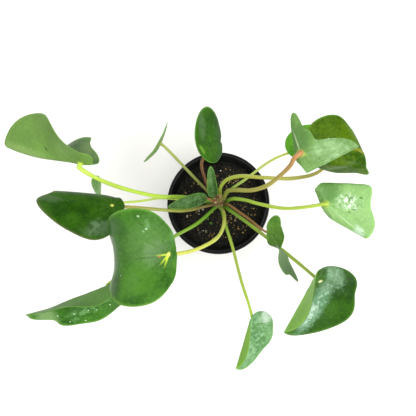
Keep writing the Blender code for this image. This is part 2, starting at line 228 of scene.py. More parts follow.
def ball(subdivisions):
    """The points and the triangles of a round ball of radius 1."""
    shape = bmesh.new()
    bmesh.ops.create_icosphere(shape, subdivisions=subdivisions, radius=1.0)
    points = np.array([v.co for v in shape.verts])
    triangles = np.array([[v.index for v in f.verts] for f in shape.faces])
    shape.free()
    return points, triangles


def scaled(colour, factor):
    return tuple(min(c * factor, 1.0) for c in colour)


class Nodes:
    """Short names for making a material's nodes. Noise is taken at self.place. Paint adds to self.colour."""

    def __init__(self, name):
        self.material = bpy.data.materials.new(name)
        self.material.use_nodes = True
        self.tree = self.material.node_tree
        self.place = self.node("TexCoord", {}, "Object")
        self.colour = None

    def put(self, socket, value):
        if isinstance(value, bpy.types.NodeSocket):
            self.tree.links.new(value, socket)
        elif hasattr(value, "__len__") and len(value) == 3 and len(socket.default_value) == 4:
            socket.default_value = (*value, 1.0)
        else:
            socket.default_value = value

    def node(self, kind, inputs, output=0, **settings):
        """Makes a node, sets or links its inputs by number or name, and returns one of its outputs."""
        made = self.tree.nodes.new("ShaderNode" + kind)
        for key, value in settings.items():
            setattr(made, key, value)
        for key, value in inputs.items() if isinstance(inputs, dict) else enumerate(inputs):
            self.put(made.inputs[key], value)
        return made.outputs[output]

    def attribute(self, name, output="Fac"):
        return self.node("Attribute", {}, output, attribute_name=name)

    def math(self, operation, a, b=0.0, c=0.0):
        return self.node("Math", (a, b, c), operation=operation)

    def times(self, a, b):
        return self.math("MULTIPLY", a, b)

    def times_plus(self, a, b, c):
        return self.math("MULTIPLY_ADD", a, b, c)

    def vector(self, operation, a, b, output="Vector"):
        return self.node("VectorMath", (a, b), output, operation=operation)

    def dot(self, a, b):
        return self.vector("DOT_PRODUCT", a, b, "Value")

    def ramp(self, value, low, high, to_low=0.0, to_high=1.0):
        return self.node("MapRange", (value, low, high, to_low, to_high), interpolation_type="SMOOTHSTEP")

    def fall(self, value, low, high):
        return self.ramp(value, low, high, 1.0, 0.0)

    def noise(self, scale, detail=2.0, rough=0.5, distortion=0.0, at=None):
        return self.node("TexNoise", {"Vector": at or self.place, "Scale": scale, "Detail": detail,
                                      "Roughness": rough, "Distortion": distortion}, "Fac")

    def cells(self, scale):
        """The distance to the nearest edge between cells."""
        return self.node("TexVoronoi", {"Vector": self.place, "Scale": scale}, "Distance",
                         feature="DISTANCE_TO_EDGE")

    def mix(self, share, a, b):
        return self.node("Mix", {0: share, 6: a, 7: b}, 2, data_type="RGBA")

    def paint(self, mask, share, colour):
        """Lays a share of a colour over the material's own where the mask is 1."""
        self.colour = self.mix(self.times(mask, share), self.colour, colour)

    def bump(self, height, distance, strength, normal=None):
        inputs = {"Strength": strength, "Distance": distance, "Height": height}
        if normal:
            inputs["Normal"] = normal
        return self.node("Bump", inputs)

    def finish(self, roughness, normal=None, specular=0.5, coat=0.0, coat_roughness=0.1):
        inputs = {"Base Color": self.colour, "Roughness": roughness, "Specular IOR Level": specular,
                  "Coat Weight": coat, "Coat Roughness": coat_roughness}
        if normal:
            inputs["Normal"] = normal
        for name, value in inputs.items():
            self.put(self.tree.nodes["Principled BSDF"].inputs[name], value)
        return self.material


# ---- leaf shape
RINGS, SPOKES, RING_CROWDING = 30, 112, 0.85
HALF_THICKNESS, MARGIN_THINNING = 0.42, 0.22
VEINS = (0, 34, -34, 68, -68, 118, -118)  # degrees from the tip's direction
VEIN_DEPTH, VEIN_WIDTH = 0.22, 1.3
USUAL_LENGTH = 80  # waves are this high on a blade this long
SLOW_WAVES = [(3, 0.35, 1.7), (5, 0.25, 2.3), (8, 0.16, 3.1), (13, 0.07, 0.9)]  # how many, height, phase
PROBE = 0.05  # step for finding which way the bent blade faces
UPPER, UNDER = 0, 1  # material slots of a blade


def blade_axes(leaf):
    heading, pitch, roll = (radians(a) for a in leaf["aim"])
    tip = np.array([cos(heading) * cos(pitch), sin(heading) * cos(pitch), sin(pitch)])
    level = np.array([-sin(heading), cos(heading), 0.0])
    upright = np.cross(tip, level)
    left = level * cos(roll) + upright * sin(roll)
    return tip, left, np.cross(tip, left)


def curled(points, direction, start, angle, over):
    """Rolls what lies beyond a line across the blade up about that line, or down for a negative angle."""
    across = compass(direction)
    beyond = np.maximum(points @ across - start, 0.0)
    bend = radians(angle) / over
    turning = np.minimum(beyond, over)
    turned_by = bend * turning
    height = points[:, 2].copy()
    reach = np.sin(turned_by) / bend + np.cos(turned_by) * (beyond - turning)
    rise = (1 - np.cos(turned_by)) / bend + np.sin(turned_by) * (beyond - turning)
    moved = points + np.outer(reach - beyond - np.sin(turned_by) * height, across)
    moved[:, 2] = rise + np.cos(turned_by) * height
    return np.where((beyond > 0)[:, None], moved, points)


def blade_points(leaf, points):
    """Places on the flat blade, bent to its shape and put where it hangs."""
    for curl in leaf.get("sides", []):
        points = curled(points, *curl)
    swing, over = leaf.get("swing", (0, 1))
    turn = radians(leaf.get("twist", 0)) * points[:, 0] / leaf["size"][0]
    turn += radians(swing) * (1 - np.exp(-(np.maximum(points[:, 0], 0.0) / over) ** 2))
    x, y, z = points.T
    points = np.stack([x, y * np.cos(turn) - z * np.sin(turn), y * np.sin(turn) + z * np.cos(turn)], 1)
    for curl in leaf.get("ends", []):
        points = curled(points, *curl)
    return np.array(leaf["at"]) + points @ np.array(blade_axes(leaf))


def blade_rim(leaf, angle):
    length, width = leaf["size"]
    across = width / 2 * np.sin(angle) * (1 - leaf.get("egg", 0.12) * np.cos(angle))
    along = length / 2 * (1 + np.cos(angle)) - leaf["base"] * length + leaf.get("lean", 0) * across
    reach = np.ones_like(angle)
    for place, share, spread in leaf.get("waves", []):
        away = (angle - radians(place) + pi) % (2 * pi) - pi
        reach += share * np.exp(-(away / radians(spread)) ** 2)
    return np.stack([along * reach, across * reach], -1)


def relief(leaf, flat, share, seed):
    """Lifts of the blade's middle surface: slow waves that grow to the margin, and sunken main veins."""
    angle = np.arctan2(flat[:, 1], flat[:, 0])
    wave = sum(high * np.sin(count * angle + seed * phase) for count, high, phase in SLOW_WAVES)
    height = wave * share ** 2.5 * leaf["size"][0] / USUAL_LENGTH
    reach = np.hypot(flat[:, 0], flat[:, 1])
    for vein in VEINS:
        away = reach * np.abs(np.sin(angle - radians(vein) * (1 - 0.12 * share)))
        ahead = (np.cos(angle - radians(vein)) > 0) * (reach > 0.1)
        height -= VEIN_DEPTH * ahead * np.exp(-(away / VEIN_WIDTH) ** 2) * np.clip(1.1 - share, 0, 1)
    return height


def leaf_mesh(leaf, seed):
    """A thin closed blade: rings of points about the joint on its upper face, and again on its under face."""
    rim = blade_rim(leaf, 2 * pi * np.arange(SPOKES) / SPOKES)
    shares = (np.arange(1, RINGS + 1) / RINGS) ** RING_CROWDING
    flat = np.vstack([[0, 0], (shares[:, None, None] * rim[None]).reshape(-1, 2)])
    share = np.concatenate([[0], np.repeat(shares, SPOKES)])
    at = np.column_stack([flat, relief(leaf, flat, share, seed)])
    middle = blade_points(leaf, at)
    ahead = blade_points(leaf, at + (PROBE, 0, 0)) - blade_points(leaf, at - (PROBE, 0, 0))
    left = blade_points(leaf, at + (0, PROBE, 0)) - blade_points(leaf, at - (0, PROBE, 0))
    normal = np.cross(ahead, left)
    normal /= np.linalg.norm(normal, axis=1)[:, None]
    half = (HALF_THICKNESS - MARGIN_THINNING * share ** 6)[:, None]
    count = len(flat)
    upper = fan(0, 1, SPOKES) + bands(1, RINGS, SPOKES)
    margin = band(count - SPOKES, 2 * count - SPOKES, SPOKES)
    under = shifted(flipped(upper), count)
    mesh = mesh_from(np.vstack([middle + normal * half, middle - normal * half]), upper + margin + under)
    mesh.polygons.foreach_set("material_index", [UPPER] * len(upper + margin) + [UNDER] * len(under))
    store(mesh, "share", np.concatenate([share, share]))
    blade = np.column_stack([flat, np.zeros(count)])
    store(mesh, "blade", np.vstack([blade, blade]))
    return mesh


# ---- leaf finish
VEIN_CURVE = 0.0022  # how fast a side vein bends away from the tip
NET_CELLS, UNDER_NET_CELLS = 0.32, 0.28  # cells of the fine net of veins to a millimetre
STAR_COLOUR, UPPER_VEIN_COLOUR = (0.52, 0.66, 0.03), (0.22, 0.42, 0.06)
JOINT_COLOUR = (0.5, 0.6, 0.1)
UPPER_COAT = 0.05


def vein_mask(n, blade, width, reach, veins=VEINS):
    """Radiating veins that start at the joint: 1 on a vein, fading out with the distance along it."""
    total = None
    for vein in veins:
        curve = VEIN_CURVE * ((vein > 0) - (vein < 0))
        along = n.dot(blade, compass(vein))
        off = n.times_plus(n.times(along, along), curve, n.dot(blade, compass(vein + 90)))
        line = n.fall(n.math("ABSOLUTE", off), width * 0.3, width)
        fade = n.times(n.ramp(along, 0.0, 1.5), n.fall(along, reach * 0.25, reach))
        line = n.times(line, fade)
        total = line if total is None else n.math("MAXIMUM", total, line)
    return total


def patch(n, blade, x, y, length, width, turn=0.0, ragged=0.5):
    """A soft, uneven oval patch on the blade, turned by an angle: 1 inside it, 0 beyond."""
    away = n.vector("SUBTRACT", blade, (x, y, 0))
    along = n.dot(away, compass(turn) / length)
    across = n.dot(away, compass(turn + 90) / width)
    away = n.math("SQRT", n.times_plus(along, along, n.times(across, across)))
    away = n.math("ADD", away, n.times_plus(n.noise(0.3, 3, 0.6, at=blade), ragged * 2, -ragged))
    return n.fall(away, 0.35, 1.15)


def add_patches(n, blade, coat, patches):
    """Paints the patches, some of them painted sheen and highlights, and returns the coat with their shine.
    """
    for place, colour, share, shine in patches:
        mask = patch(n, blade, *place)
        n.paint(mask, share, colour)
        coat = n.math("MAXIMUM", coat, n.times(mask, shine))
    return coat


def add_mottles_and_glints(n, blade, mottles_and_glints):
    """Paints light and dark flecks; on wet and shining places the light flecks are painted glints, elsewhere
    the flecks are mottled colour.
    """
    for place, light, dark, share, scale in mottles_and_glints:
        mask = n.times(patch(n, blade, *place), share)
        fleck = n.noise(scale, 3, 0.55, 0.8, at=blade)
        n.paint(mask, n.ramp(fleck, 0.5, 0.62), light)
        n.paint(mask, n.fall(fleck, 0.36, 0.46), dark)


def upper_finish(name, seed, look):
    """The darker, glossier face of a blade, with veins, a net, a rim, shining patches (some of them painted
    sheen and highlights), flecks with painted glints and the joint's dot.
    """
    n = Nodes(name)
    blade = n.attribute("blade", "Vector")
    share = n.attribute("share")
    n.place = n.vector("ADD", blade, (seed * 37.0, seed * 11.0, 0))
    broad = n.noise(0.04, 3, 0.55)
    fine = n.noise(0.35, 5, 0.65)
    dark, light = look["dark"], look["light"]
    n.colour = n.mix(n.ramp(broad, 0.34, 0.66), dark, light)
    n.paint(n.ramp(fine, 0.5, 0.7), 0.45, scaled(light, 1.4))
    n.paint(n.fall(fine, 0.3, 0.48), 0.5, scaled(dark, 0.6))
    net = n.cells(NET_CELLS)
    n.paint(n.fall(net, 0.0, 0.1), 0.2, scaled(light, 1.5))
    veins = vein_mask(n, blade, 0.5, 24)
    n.paint(veins, look["vein"], UPPER_VEIN_COLOUR)
    if "star" in look:
        n.paint(vein_mask(n, blade, 1.1, 13, look["star"]), 1, STAR_COLOUR)
    n.paint(n.ramp(share, 0.93, 1.0), look["rim_share"], look["rim"])
    # Some patches and mottled places paint sheen, highlights and glints of wet.
    coat = add_patches(n, blade, UPPER_COAT, look["patches"])
    add_mottles_and_glints(n, blade, look["mottles_and_glints"])
    if "dot" in look:
        n.paint(patch(n, blade, 0, 0, *look["dot"], ragged=0.15), 1, look["dot_colour"])
    roughness = n.ramp(n.noise(0.09, 3, 0.6), 0.3, 0.7, 0.28, 0.46)
    height = n.times_plus(veins, -0.6, n.times_plus(n.ramp(net, 0.0, 0.3), 0.5, fine))
    quilt = n.bump(n.noise(0.14, 3, 0.5), 0.0011, look["quilt"])
    return n.finish(roughness, n.bump(height, 0.00018, 0.7, quilt), specular=look["gloss"], coat=coat,
                    coat_roughness=0.16)


def under_finish(name, seed, look):
    """The paler, duller face of a blade, yellowish about the joint."""
    n = Nodes(name)
    blade = n.attribute("blade", "Vector")
    share = n.attribute("share")
    n.place = n.vector("ADD", blade, (seed * 29.0, seed * 17.0, 5.0))
    under, rough = look["under"], look["under_rough"]
    broad = n.noise(0.05, 3, 0.5)
    fine = n.noise(0.5, 6, 0.7)
    n.colour = n.mix(n.ramp(broad, 0.35, 0.68), scaled(under, 0.88), scaled(under, 1.12))
    n.paint(n.ramp(fine, 0.5, 0.7), 0.45, scaled(under, 1.5))
    net = n.cells(UNDER_NET_CELLS)
    n.paint(n.fall(net, 0.0, 0.12), 0.3, scaled(under, 0.65))
    veins = vein_mask(n, blade, 0.8, 40)
    n.paint(veins, 0.15, scaled(under, 1.6))
    n.paint(n.ramp(share, 0.95, 1.0), 0.45, scaled(under, 1.35))
    # Some patches and mottled places paint sheen, highlights and glints of wet.
    coat = add_patches(n, blade, look["under_coat"], look["under_patches"])
    add_mottles_and_glints(n, blade, look["under_mottles_and_glints"])
    coat = add_patches(n, blade, coat, look["spots"])
    reach = n.math("SQRT", n.dot(blade, blade))
    n.paint(n.fall(reach, 0.8, 4.5), 0.8, JOINT_COLOUR)
    height = n.times_plus(veins, 0.8, n.math("ADD", fine, n.ramp(net, 0.0, 0.3)))
    quilt = n.bump(n.noise(0.12, 3, 0.5), 0.001, 0.5)
    roughness = n.ramp(n.noise(0.1, 2), 0.3, 0.7, rough - 0.08, rough + 0.1)
    return n.finish(roughness, n.bump(height, 0.0002, 0.6, quilt), specular=0.15, coat=coat,
                    coat_roughness=0.14)


BROWN_SPOT = (0.12, 0.045, 0.02)
WET_SPOTS = [(place, (0.05, 0.17, 0.015), 0.9, 0.8) for place in
             [(16, -16, 2.4, 1.1, -30), (23, -20, 2, 1.1, -30), (20.5, -4, 1.8, 1), (23, -8, 2, 1, -20),
              (11, -5.5, 2.2, 0.8)]]
ANY_LEAF = dict(vein=0.12, rim=(0.16, 0.38, 0.05), rim_share=0.55, dot_colour=(0.74, 0.78, 0.16), gloss=0.12,
                quilt=0.4, patches=[], mottles_and_glints=[], under_rough=0.5, under_coat=0.0, under_patches=[],
                under_mottles_and_glints=[], spots=[])
DARK = dict(ANY_LEAF, dark=(0.009, 0.048, 0.0012), light=(0.03, 0.108, 0.004), under=(0.16, 0.29, 0.07))
MIDDLE = dict(ANY_LEAF, dark=(0.019, 0.092, 0.005), light=(0.052, 0.17, 0.015), under=(0.19, 0.34, 0.09))
PALE = dict(ANY_LEAF, dark=(0.085, 0.24, 0.03), light=(0.16, 0.34, 0.07), under=(0.26, 0.46, 0.13))

# How each blade looks: a dark and a light green above and a green below, then what is special about it. A
# patch is ((where: centre, half length and width, any turn), colour, share, how it shines); some patches are
# painted sheen and highlights, marked where they stand. A mottled place is (where, light, dark, share,
# scale);
# on wet and shining places its light flecks are painted glints. The dot and the star are pale marks at the
# joint.
LOOKS = {
    "leaf_01": dict(DARK, dark=(0.07, 0.145, 0.046), light=(0.125, 0.2, 0.075), under=(0.13, 0.255, 0.05),
        under_patches=[((52, -4, 30, 7), (0.24, 0.37, 0.12), 0.5, 0.0),
                       ((29.5, 5.6, 2.4, 1.2, 40), (0.02, 0.07, 0.01), 0.9, 0.6)]),
    "leaf_02": dict(
        DARK, dot=(1.9, 1.6), vein=0.16, rim=(0.16, 0.17, 0.06), rim_share=0.4,
        # The two greyish patches are painted sheen.
        patches=[((6, 24, 15, 8, 30), (0.07, 0.14, 0.055), 0.7, 0.5),
                 ((56, 2, 14, 5), (0.075, 0.13, 0.06), 0.5, 0.3)],
        # The first mottled place's light flecks are painted sheen.
        mottles_and_glints=[((6, 22, 18, 10, 30), (0.13, 0.22, 0.11), (0.012, 0.05, 0.003), 0.6, 0.15),
                 ((36, 8, 34, 14), (0.03, 0.12, 0.003), (0.008, 0.045, 0.001), 0.3, 0.08)]),
    "leaf_03": dict(MIDDLE, dot=(2.4, 1.6, 70), vein=0.1, star=(3, 48, 70), dot_colour=(0.82, 0.8, 0.16),
        # The first patch is a painted sheen.
        patches=[((18, -10, 26, 22, 60), (0.095, 0.21, 0.05), 0.5, 0.35),
                 ((26, 18, 18, 15), (0.07, 0.225, 0.014), 0.6, 0.1),
                 ((46, 22, 9, 13, 20), (0.015, 0.05, 0.008), 0.6, 0.1),
                 ((42, -27, 15, 9), (0.03, 0.09, 0.022), 0.55, 0.2),
                 ((52, -6, 8, 22), (0.025, 0.08, 0.012), 0.6, 0.2),
                 ((19, 1.5, 11, 0.7, 3), (0.015, 0.06, 0.008), 0.6, 0.1),
                 ((7.2, 1.2, 1.3, 0.8), (0.45, 0.12, 0.02), 0.9, 0.1)],
        # The first mottled place's light flecks are painted glints of wet.
        mottles_and_glints=[((17, -24, 5, 9), (0.14, 0.31, 0.11), (0.03, 0.1, 0.015), 0.6, 0.25),
                 ((28, 0, 34, 34), (0.085, 0.21, 0.035), (0.026, 0.1, 0.009), 0.25, 0.3)]),
    "leaf_04": dict(MIDDLE, dark=(0.014, 0.075, 0.003), light=(0.04, 0.145, 0.011), under=(0.08, 0.19, 0.035),
        # The pale tip patch and the wet middle patch are painted sheen.
        patches=[((62, 2, 12, 14), (0.19, 0.33, 0.12), 0.85, 0.1),
                 ((20, 8, 30, 10), (0.05, 0.155, 0.03), 0.4, 0.5)],
        # The light flecks are painted glints of wet.
        mottles_and_glints=[((26, 12, 28, 9), (0.13, 0.31, 0.1), (0.01, 0.055, 0.003), 0.6, 0.22)]),
    "leaf_05": dict(MIDDLE, under=(0.15, 0.27, 0.06)),
    "leaf_06": dict(PALE, under=(0.24, 0.4, 0.12)),
    "leaf_07": dict(
        DARK, vein=0.05,
        # The first patch is a painted sheen.
        patches=[((23, 9, 18, 5), (0.07, 0.14, 0.05), 0.6, 0.4),
                 ((0, 11, 7, 2.0, 30), (0.14, 0.32, 0.03), 0.6, 0.1)],
        mottles_and_glints=[((18, 0, 30, 18), (0.032, 0.12, 0.006), (0.007, 0.04, 0.001), 0.4, 0.14)]),
    "leaf_08": dict(
        DARK, dark=(0.015, 0.06, 0.001), light=(0.07, 0.145, 0.002), gloss=0.06,
        patches=[((-32.6, -6.2, 2.6, 1.4, 50), BROWN_SPOT, 0.9, 0.1),
                 ((10, 20, 14, 2.6, 55), (0.3, 0.3, 0.03), 0.6, 0.1),
                 # This greyish patch is a painted sheen.
                 ((16, -6, 4, 18), (0.1, 0.18, 0.05), 0.5, 0.3)],
        mottles_and_glints=[((0, 0, 34, 30), (0.105, 0.18, 0.005), (0.018, 0.07, 0.002), 0.4, 0.25)]),
    "leaf_09": dict(PALE, dark=(0.06, 0.26, 0.008), light=(0.13, 0.38, 0.02)),
    "leaf_10": dict(
        MIDDLE, under=(0.118, 0.245, 0.055), under_rough=0.4, under_coat=0.15,
        # The first patch is a painted sheen.
        under_patches=[((22, 0, 20, 12), (0.22, 0.4, 0.15), 0.6, 0.5),
                       ((2, -12, 9, 16), (0.06, 0.155, 0.03), 0.75, 0.1),
                       ((26, -6, 3.0, 0.9, 10), (0.04, 0.12, 0.02), 0.8, 0.6),
                       ((-1, -11, 12, 0.6, -96), (0.38, 0.48, 0.28), 0.7, 0.0),
                       ((2, 1, 4, 1.6, 20), (0.45, 0.54, 0.1), 0.55, 0.0)],
        # The light flecks are painted glints of wet.
        under_mottles_and_glints=[((24, 2, 22, 14), (0.31, 0.52, 0.24), (0.08, 0.21, 0.035), 0.45, 0.12)]),
    "leaf_11": dict(
        MIDDLE, under=(0.235, 0.44, 0.14), under_rough=0.36, under_coat=0.2,
        # The second patch is a painted highlight and the third a painted sheen.
        under_patches=[((-4, -12, 12, 17, -30), (0.075, 0.2, 0.035), 0.85, 0.1),
                       ((36, 6, 7, 4, 20), (0.45, 0.62, 0.45), 0.8, 0.8),
                       ((16, -12, 13, 9, -20), (0.28, 0.5, 0.2), 0.6, 0.9),
                       ((20, 3.7, 21, 0.7, 10), (0.4, 0.6, 0.29), 0.6, 0.1)],
        # The white flecks are painted highlights.
        under_mottles_and_glints=[((16, -12, 13, 9, -20), (0.75, 0.86, 0.72), (0.06, 0.19, 0.03), 0.9, 0.3)],
        spots=WET_SPOTS),
    "leaf_12": dict(MIDDLE, dark=(0.042, 0.125, 0.012), light=(0.09, 0.2, 0.028), under=(0.105, 0.19, 0.075),
        # The patch is a painted sheen.
        patches=[((26, 0, 14, 8), (0.13, 0.21, 0.09), 0.5, 0.3)]),
    "leaf_13": dict(
        DARK, under=(0.2, 0.42, 0.07), dot=(2.4, 1.2, -30), dot_colour=(0.74, 0.8, 0.4), quilt=0.6,
        rim_share=0.25,
        # The second patch is a painted sheen and the third a painted highlight.
        patches=[((24, -10, 30, 18), (0.062, 0.195, 0.002), 0.8, 0.1),
                 ((22, 9, 34, 9, 4), (0.115, 0.285, 0.14), 0.75, 0.9),
                 ((-12, 8, 12, 8, 60), (0.1, 0.25, 0.1), 0.7, 0.6)],
        # The light flecks of both mottled places are painted highlights.
        mottles_and_glints=[((20, 11, 34, 7, 4), (0.34, 0.53, 0.4), (0.06, 0.17, 0.06), 0.65, 0.3),
                 ((-10, 8, 14, 9, 60), (0.18, 0.36, 0.2), (0.03, 0.11, 0.02), 0.6, 0.2)]),
    "leaf_14": dict(MIDDLE, under=(0.17, 0.38, 0.03), dark=(0.085, 0.21, 0.075), light=(0.18, 0.36, 0.15),
        # The whitish patch is a painted highlight.
        patches=[((-12, 8, 8, 6), (0.6, 0.74, 0.62), 0.75, 0.8)],
        mottles_and_glints=[((6, 4, 28, 14), (0.31, 0.52, 0.31), (0.05, 0.17, 0.035), 0.6, 0.3)]),
    "young_leaf_1": dict(
        MIDDLE, dark=(0.028, 0.09, 0.016), light=(0.095, 0.19, 0.055), under=(0.14, 0.19, 0.06),
        mottles_and_glints=[((10, 0, 30, 9), (0.13, 0.25, 0.08), (0.012, 0.055, 0.008), 0.5, 0.3)]),
    "young_leaf_2": dict(DARK, dark=(0.012, 0.048, 0.004), light=(0.045, 0.12, 0.016),
        mottles_and_glints=[((10, 0, 30, 9), (0.08, 0.18, 0.06), (0.008, 0.035, 0.004), 0.6, 0.3)]),
}


# Beads of water: their side of the blade, then where each lies and how big it is.
BEAD_SHAPE = (1.15, 0.9, 0.45)
BEADS = {
    "leaf_03": ("upper", [(20.2, -32.8, 1.1), (15.5, -21.6, 0.9), (18.6, -19.5, 0.8), (41, 14, 0.7)]),
    "leaf_04": ("upper", [(14, 10, 0.9), (20, 17, 0.7), (27, 12, 0.9), (33, 20, 0.8), (38, 8, 0.9),
                          (24, 3, 0.6), (45, 14, 0.7), (8, 20, 0.8), (52, 4, 0.8)]),
    "leaf_10": ("under", [(24, -8, 0.7), (23.7, 2.3, 0.6), (36.8, -3.6, 0.6)]),
    "leaf_11": ("under", [(9, -2, 0.7), (12, -9, 0.8), (18, -15, 0.7), (15, -6, 0.6), (38.9, 5.1, 0.7)]),
}


def bead_finish():
    n = Nodes("water_bead")
    tone = n.noise(500, 2, 0.5)
    n.colour = n.mix(n.ramp(tone, 0.35, 0.65), (0.16, 0.32, 0.11), (0.34, 0.52, 0.28))
    return n.finish(0.06, specular=0.6, coat=1.0, coat_roughness=0.03)


def make_beads(name, mesh, side, places, material):
    """Low domes of water standing on one face of a blade."""
    count = len(mesh.vertices) // 2
    flat = np.zeros(6 * count, np.float32)
    mesh.attributes["blade"].data.foreach_get("vector", flat)
    flat = flat.reshape(-1, 3)[:count]
    round_points, triangles = ball(3)
    points, faces = [], []
    for x, y, size in places:
        pick = int(np.argmin(np.hypot(flat[:, 0] - x, flat[:, 1] - y))) + (count if side == "under" else 0)
        middle, out = np.array(mesh.vertices[pick].co) / MM, np.array(mesh.vertices[pick].normal)
        along = np.cross(out, (0.3, 0.5, 0.8))
        along /= np.linalg.norm(along)
        dome = round_points * BEAD_SHAPE * size
        faces.extend(triangles + len(points))
        points.extend(middle + dome @ np.array([along, np.cross(out, along), out]))
    piece("beads_" + name, mesh_from(points, faces), "leaf", material)


def make_leaves():
    water = bead_finish()
    for seed, (name, leaf) in enumerate(LEAVES.items(), 1):
        blade = piece("blade_" + name, leaf_mesh(leaf, seed), "leaf",
                      upper_finish(name + "_upper", seed, LOOKS[name]),
                      under_finish(name + "_under", seed, LOOKS[name]))
        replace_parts(blade, name)
        if name in BEADS:
            make_beads(name, blade.data, *BEADS[name], water)


# ---- stalks
FOOT_SINK, END_SINK = 0.8, 0.45  # how far the ends reach into the stem and the blade
FOOT_SWELL, END_SWELL = (0.22, 4.0), (0.35, 2.2)  # share of the radius, over which distance


def smooth_route(points, samples):
    """A smooth curve through points that may lie unevenly."""
    knots = np.array(points, float)
    knots = np.vstack([2 * knots[0] - knots[1], knots, 2 * knots[-1] - knots[-2]])
    steps = np.sqrt(np.linalg.norm(np.diff(knots, axis=0), axis=1))
    route = []
    for i in range(1, len(knots) - 2):
        before, inside, after = steps[i - 1:i + 2]
        start, end = knots[i], knots[i + 1]
        leave = (start - knots[i - 1]) / before + (end - start) / inside
        leave = (leave - (end - knots[i - 1]) / (before + inside)) * inside
        reach = (end - start) / inside + (knots[i + 2] - end) / after
        reach = (reach - (knots[i + 2] - start) / (inside + after)) * inside
        for t in np.arange(samples) / samples:
            route.append(start + leave * t + (3 * (end - start) - 2 * leave - reach) * t ** 2
                         + (2 * (start - end) + leave + reach) * t ** 3)
    return np.array(route + [knots[-2]])


def stem_radius(height):
    return float(np.interp(height, *zip(*STEM_TAPER)))


def tube(route, radii, sides=16):
    """A round tube along a route, closed at both ends, with its distance along it and round it."""
    route = np.array(route)
    heading = np.gradient(route, axis=0)
    heading /= np.linalg.norm(heading, axis=1)[:, None]
    up = np.cross(heading[0], (0, 0, 1.0) if abs(heading[0][2]) < 0.9 else (1.0, 0, 0))
    turn = 2 * pi * np.arange(sides) / sides
    points = []
    for centre, ahead, radius in zip(route, heading, radii):
        up = up - ahead * (up @ ahead)
        up /= np.linalg.norm(up)
        side = np.cross(ahead, up)
        points.append(centre + radius * (np.outer(np.cos(turn), up) + np.outer(np.sin(turn), side)))
    last = (len(route) - 1) * sides
    ends = [tuple(reversed(range(sides))), tuple(range(last, last + sides))]
    mesh = mesh_from(np.vstack(points), flipped(bands(0, len(route), sides)) + ends)
    along, turn = np.repeat(distances(route), sides), np.tile(turn, len(route))
    store(mesh, "way", along / along[-1])
    store(mesh, "skin", np.column_stack([along, 2 * np.cos(turn), 2 * np.sin(turn)]))
    return mesh


def stalk_finish(name, seed, low, middle, high):
    """A colour that changes from the stem to the blade, with streaks along the stalk and brown specks."""
    n = Nodes(name)
    n.place = n.vector("ADD", n.attribute("skin", "Vector"), (seed * 41.0, 0, 0))
    way = n.math("ADD", n.attribute("way"), n.times_plus(n.noise(0.25, 3), 0.16, -0.08))
    n.colour = n.mix(n.ramp(way, 0.02, 0.45), low, middle)
    n.paint(n.ramp(way, 0.5, 0.98), 1, high)
    streak = n.noise(1.4, 4, 0.65, at=n.vector("MULTIPLY", n.place, (0.12, 1.0, 1.0)))
    n.paint(n.ramp(streak, 0.5, 0.75), 0.35, scaled(middle, 1.5))
    n.paint(n.fall(streak, 0.25, 0.42), 0.35, scaled(low, 0.55))
    speck = n.ramp(n.noise(1.9, 3, 0.6), 0.66, 0.72)
    n.paint(speck, 0.4, (0.22, 0.12, 0.04))
    return n.finish(n.ramp(streak, 0.3, 0.7, 0.3, 0.46), n.bump(streak, 0.00015, 0.6), specular=0.3,
                    coat=0.06, coat_roughness=0.25)


# Each stalk's colours: at the stem, half way and at the blade.
LIME, GREEN, OLIVE = (0.38, 0.56, 0.045), (0.13, 0.3, 0.025), (0.22, 0.26, 0.045)
YELLOW, BROWN = (0.5, 0.52, 0.075), (0.15, 0.1, 0.035)
YOUNG_STALK = ((0.17, 0.05, 0.02), (0.28, 0.1, 0.04), (0.28, 0.17, 0.05))
STALK_COLOURS = {
    "leaf_01": (GREEN, LIME, (0.46, 0.62, 0.08)),
    "leaf_02": (BROWN, (0.28, 0.31, 0.05), (0.36, 0.3, 0.08)),
    "leaf_03": (OLIVE, (0.42, 0.46, 0.07), YELLOW),
    "leaf_04": (GREEN, (0.18, 0.34, 0.015), (0.32, 0.46, 0.03)),
    "leaf_05": (BROWN, (0.2, 0.24, 0.05), (0.3, 0.36, 0.08)),
    "leaf_06": (GREEN, (0.5, 0.64, 0.12), (0.58, 0.7, 0.12)),
    "leaf_07": (BROWN, (0.14, 0.055, 0.02), (0.19, 0.11, 0.035)),
    "leaf_08": ((0.33, 0.45, 0.05), (0.36, 0.37, 0.06), (0.38, 0.3, 0.09)),
    "leaf_09": (GREEN, (0.42, 0.52, 0.12), (0.48, 0.58, 0.1)),
    "leaf_10": (OLIVE, (0.33, 0.31, 0.06), (0.42, 0.2, 0.07)),
    "leaf_11": (GREEN, (0.36, 0.5, 0.05), (0.4, 0.54, 0.07)),
    "leaf_12": (BROWN, (0.21, 0.1, 0.025), (0.25, 0.13, 0.035)),
    "leaf_13": (GREEN, (0.23, 0.34, 0.035), (0.31, 0.4, 0.06)),
    "leaf_14": (GREEN, (0.31, 0.42, 0.045), LIME),
    "young_leaf_1": YOUNG_STALK, "young_leaf_2": YOUNG_STALK,
}
RED_STALKS = ("leaf_02", "leaf_07", "leaf_08", "leaf_10", "leaf_12", "young_leaf_1", "young_leaf_2")


def swell(away, share, over):
    """How much thicker a stalk is at a distance from one of its ends."""
    return share * np.exp(-(away / over) ** 2)


